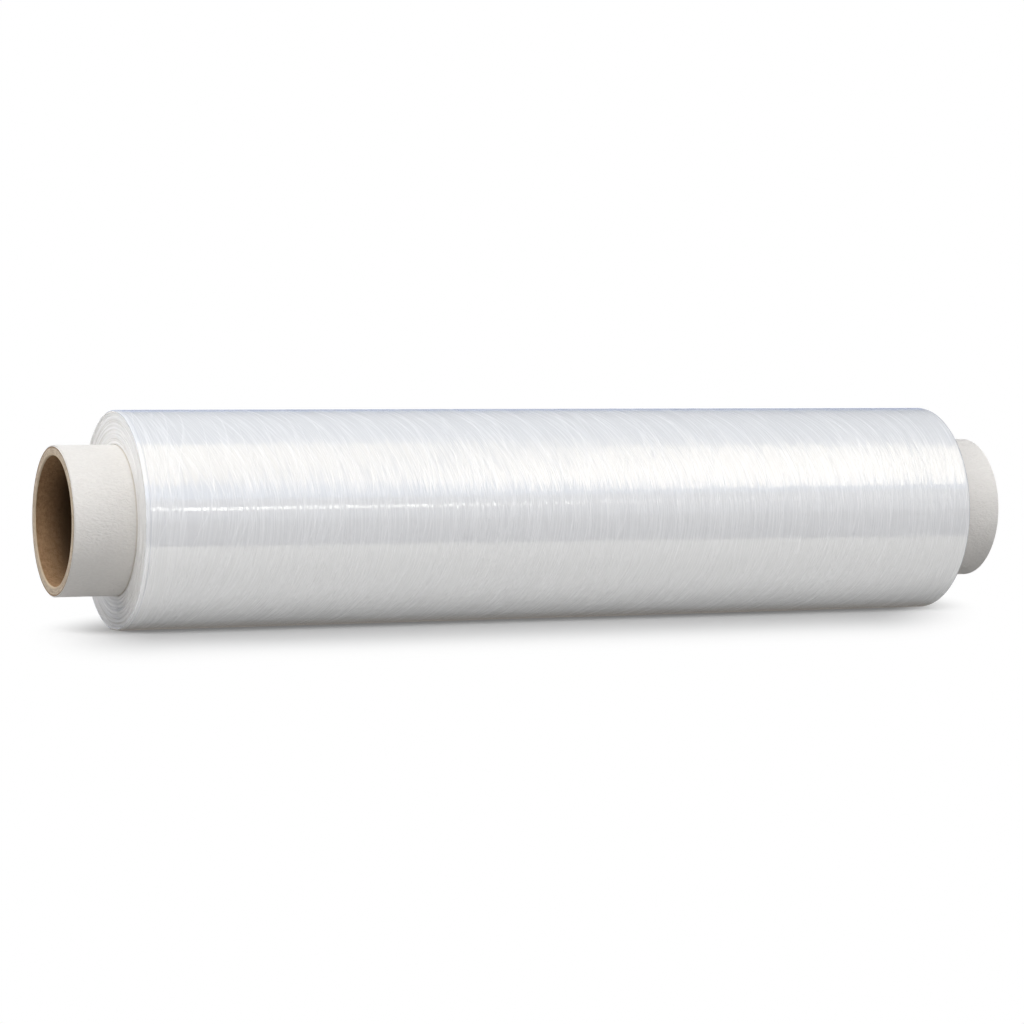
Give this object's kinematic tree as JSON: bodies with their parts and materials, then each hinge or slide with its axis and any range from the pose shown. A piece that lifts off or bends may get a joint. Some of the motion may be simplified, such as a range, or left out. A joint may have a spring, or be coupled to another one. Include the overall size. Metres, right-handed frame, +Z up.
{
  "type": "cling film roll",
  "caption": "Roll of glossy cling film wound on a white paperboard core that stands out at both ends, to hang on a spindle or in a cutter box.",
  "frame": {"origin": "on the surface that the roll lies on, under the middle of the core", "axes": "+X along the roll towards its right end, +Z up; the free edge of the film lies along the +Y side"},
  "size_m": [0.402, 0.0846, 0.0844],
  "materials": {
    "kraft_board": "dull brown kraft board",
    "white_paper": "dull white paper",
    "film": "glossy, milky where it is wound"
  },
  "bodies": {
    "root": {"board_tube": "kraft_board", "white_wrap": "white_paper", "film": "film"}
  },
  "joints": []
}
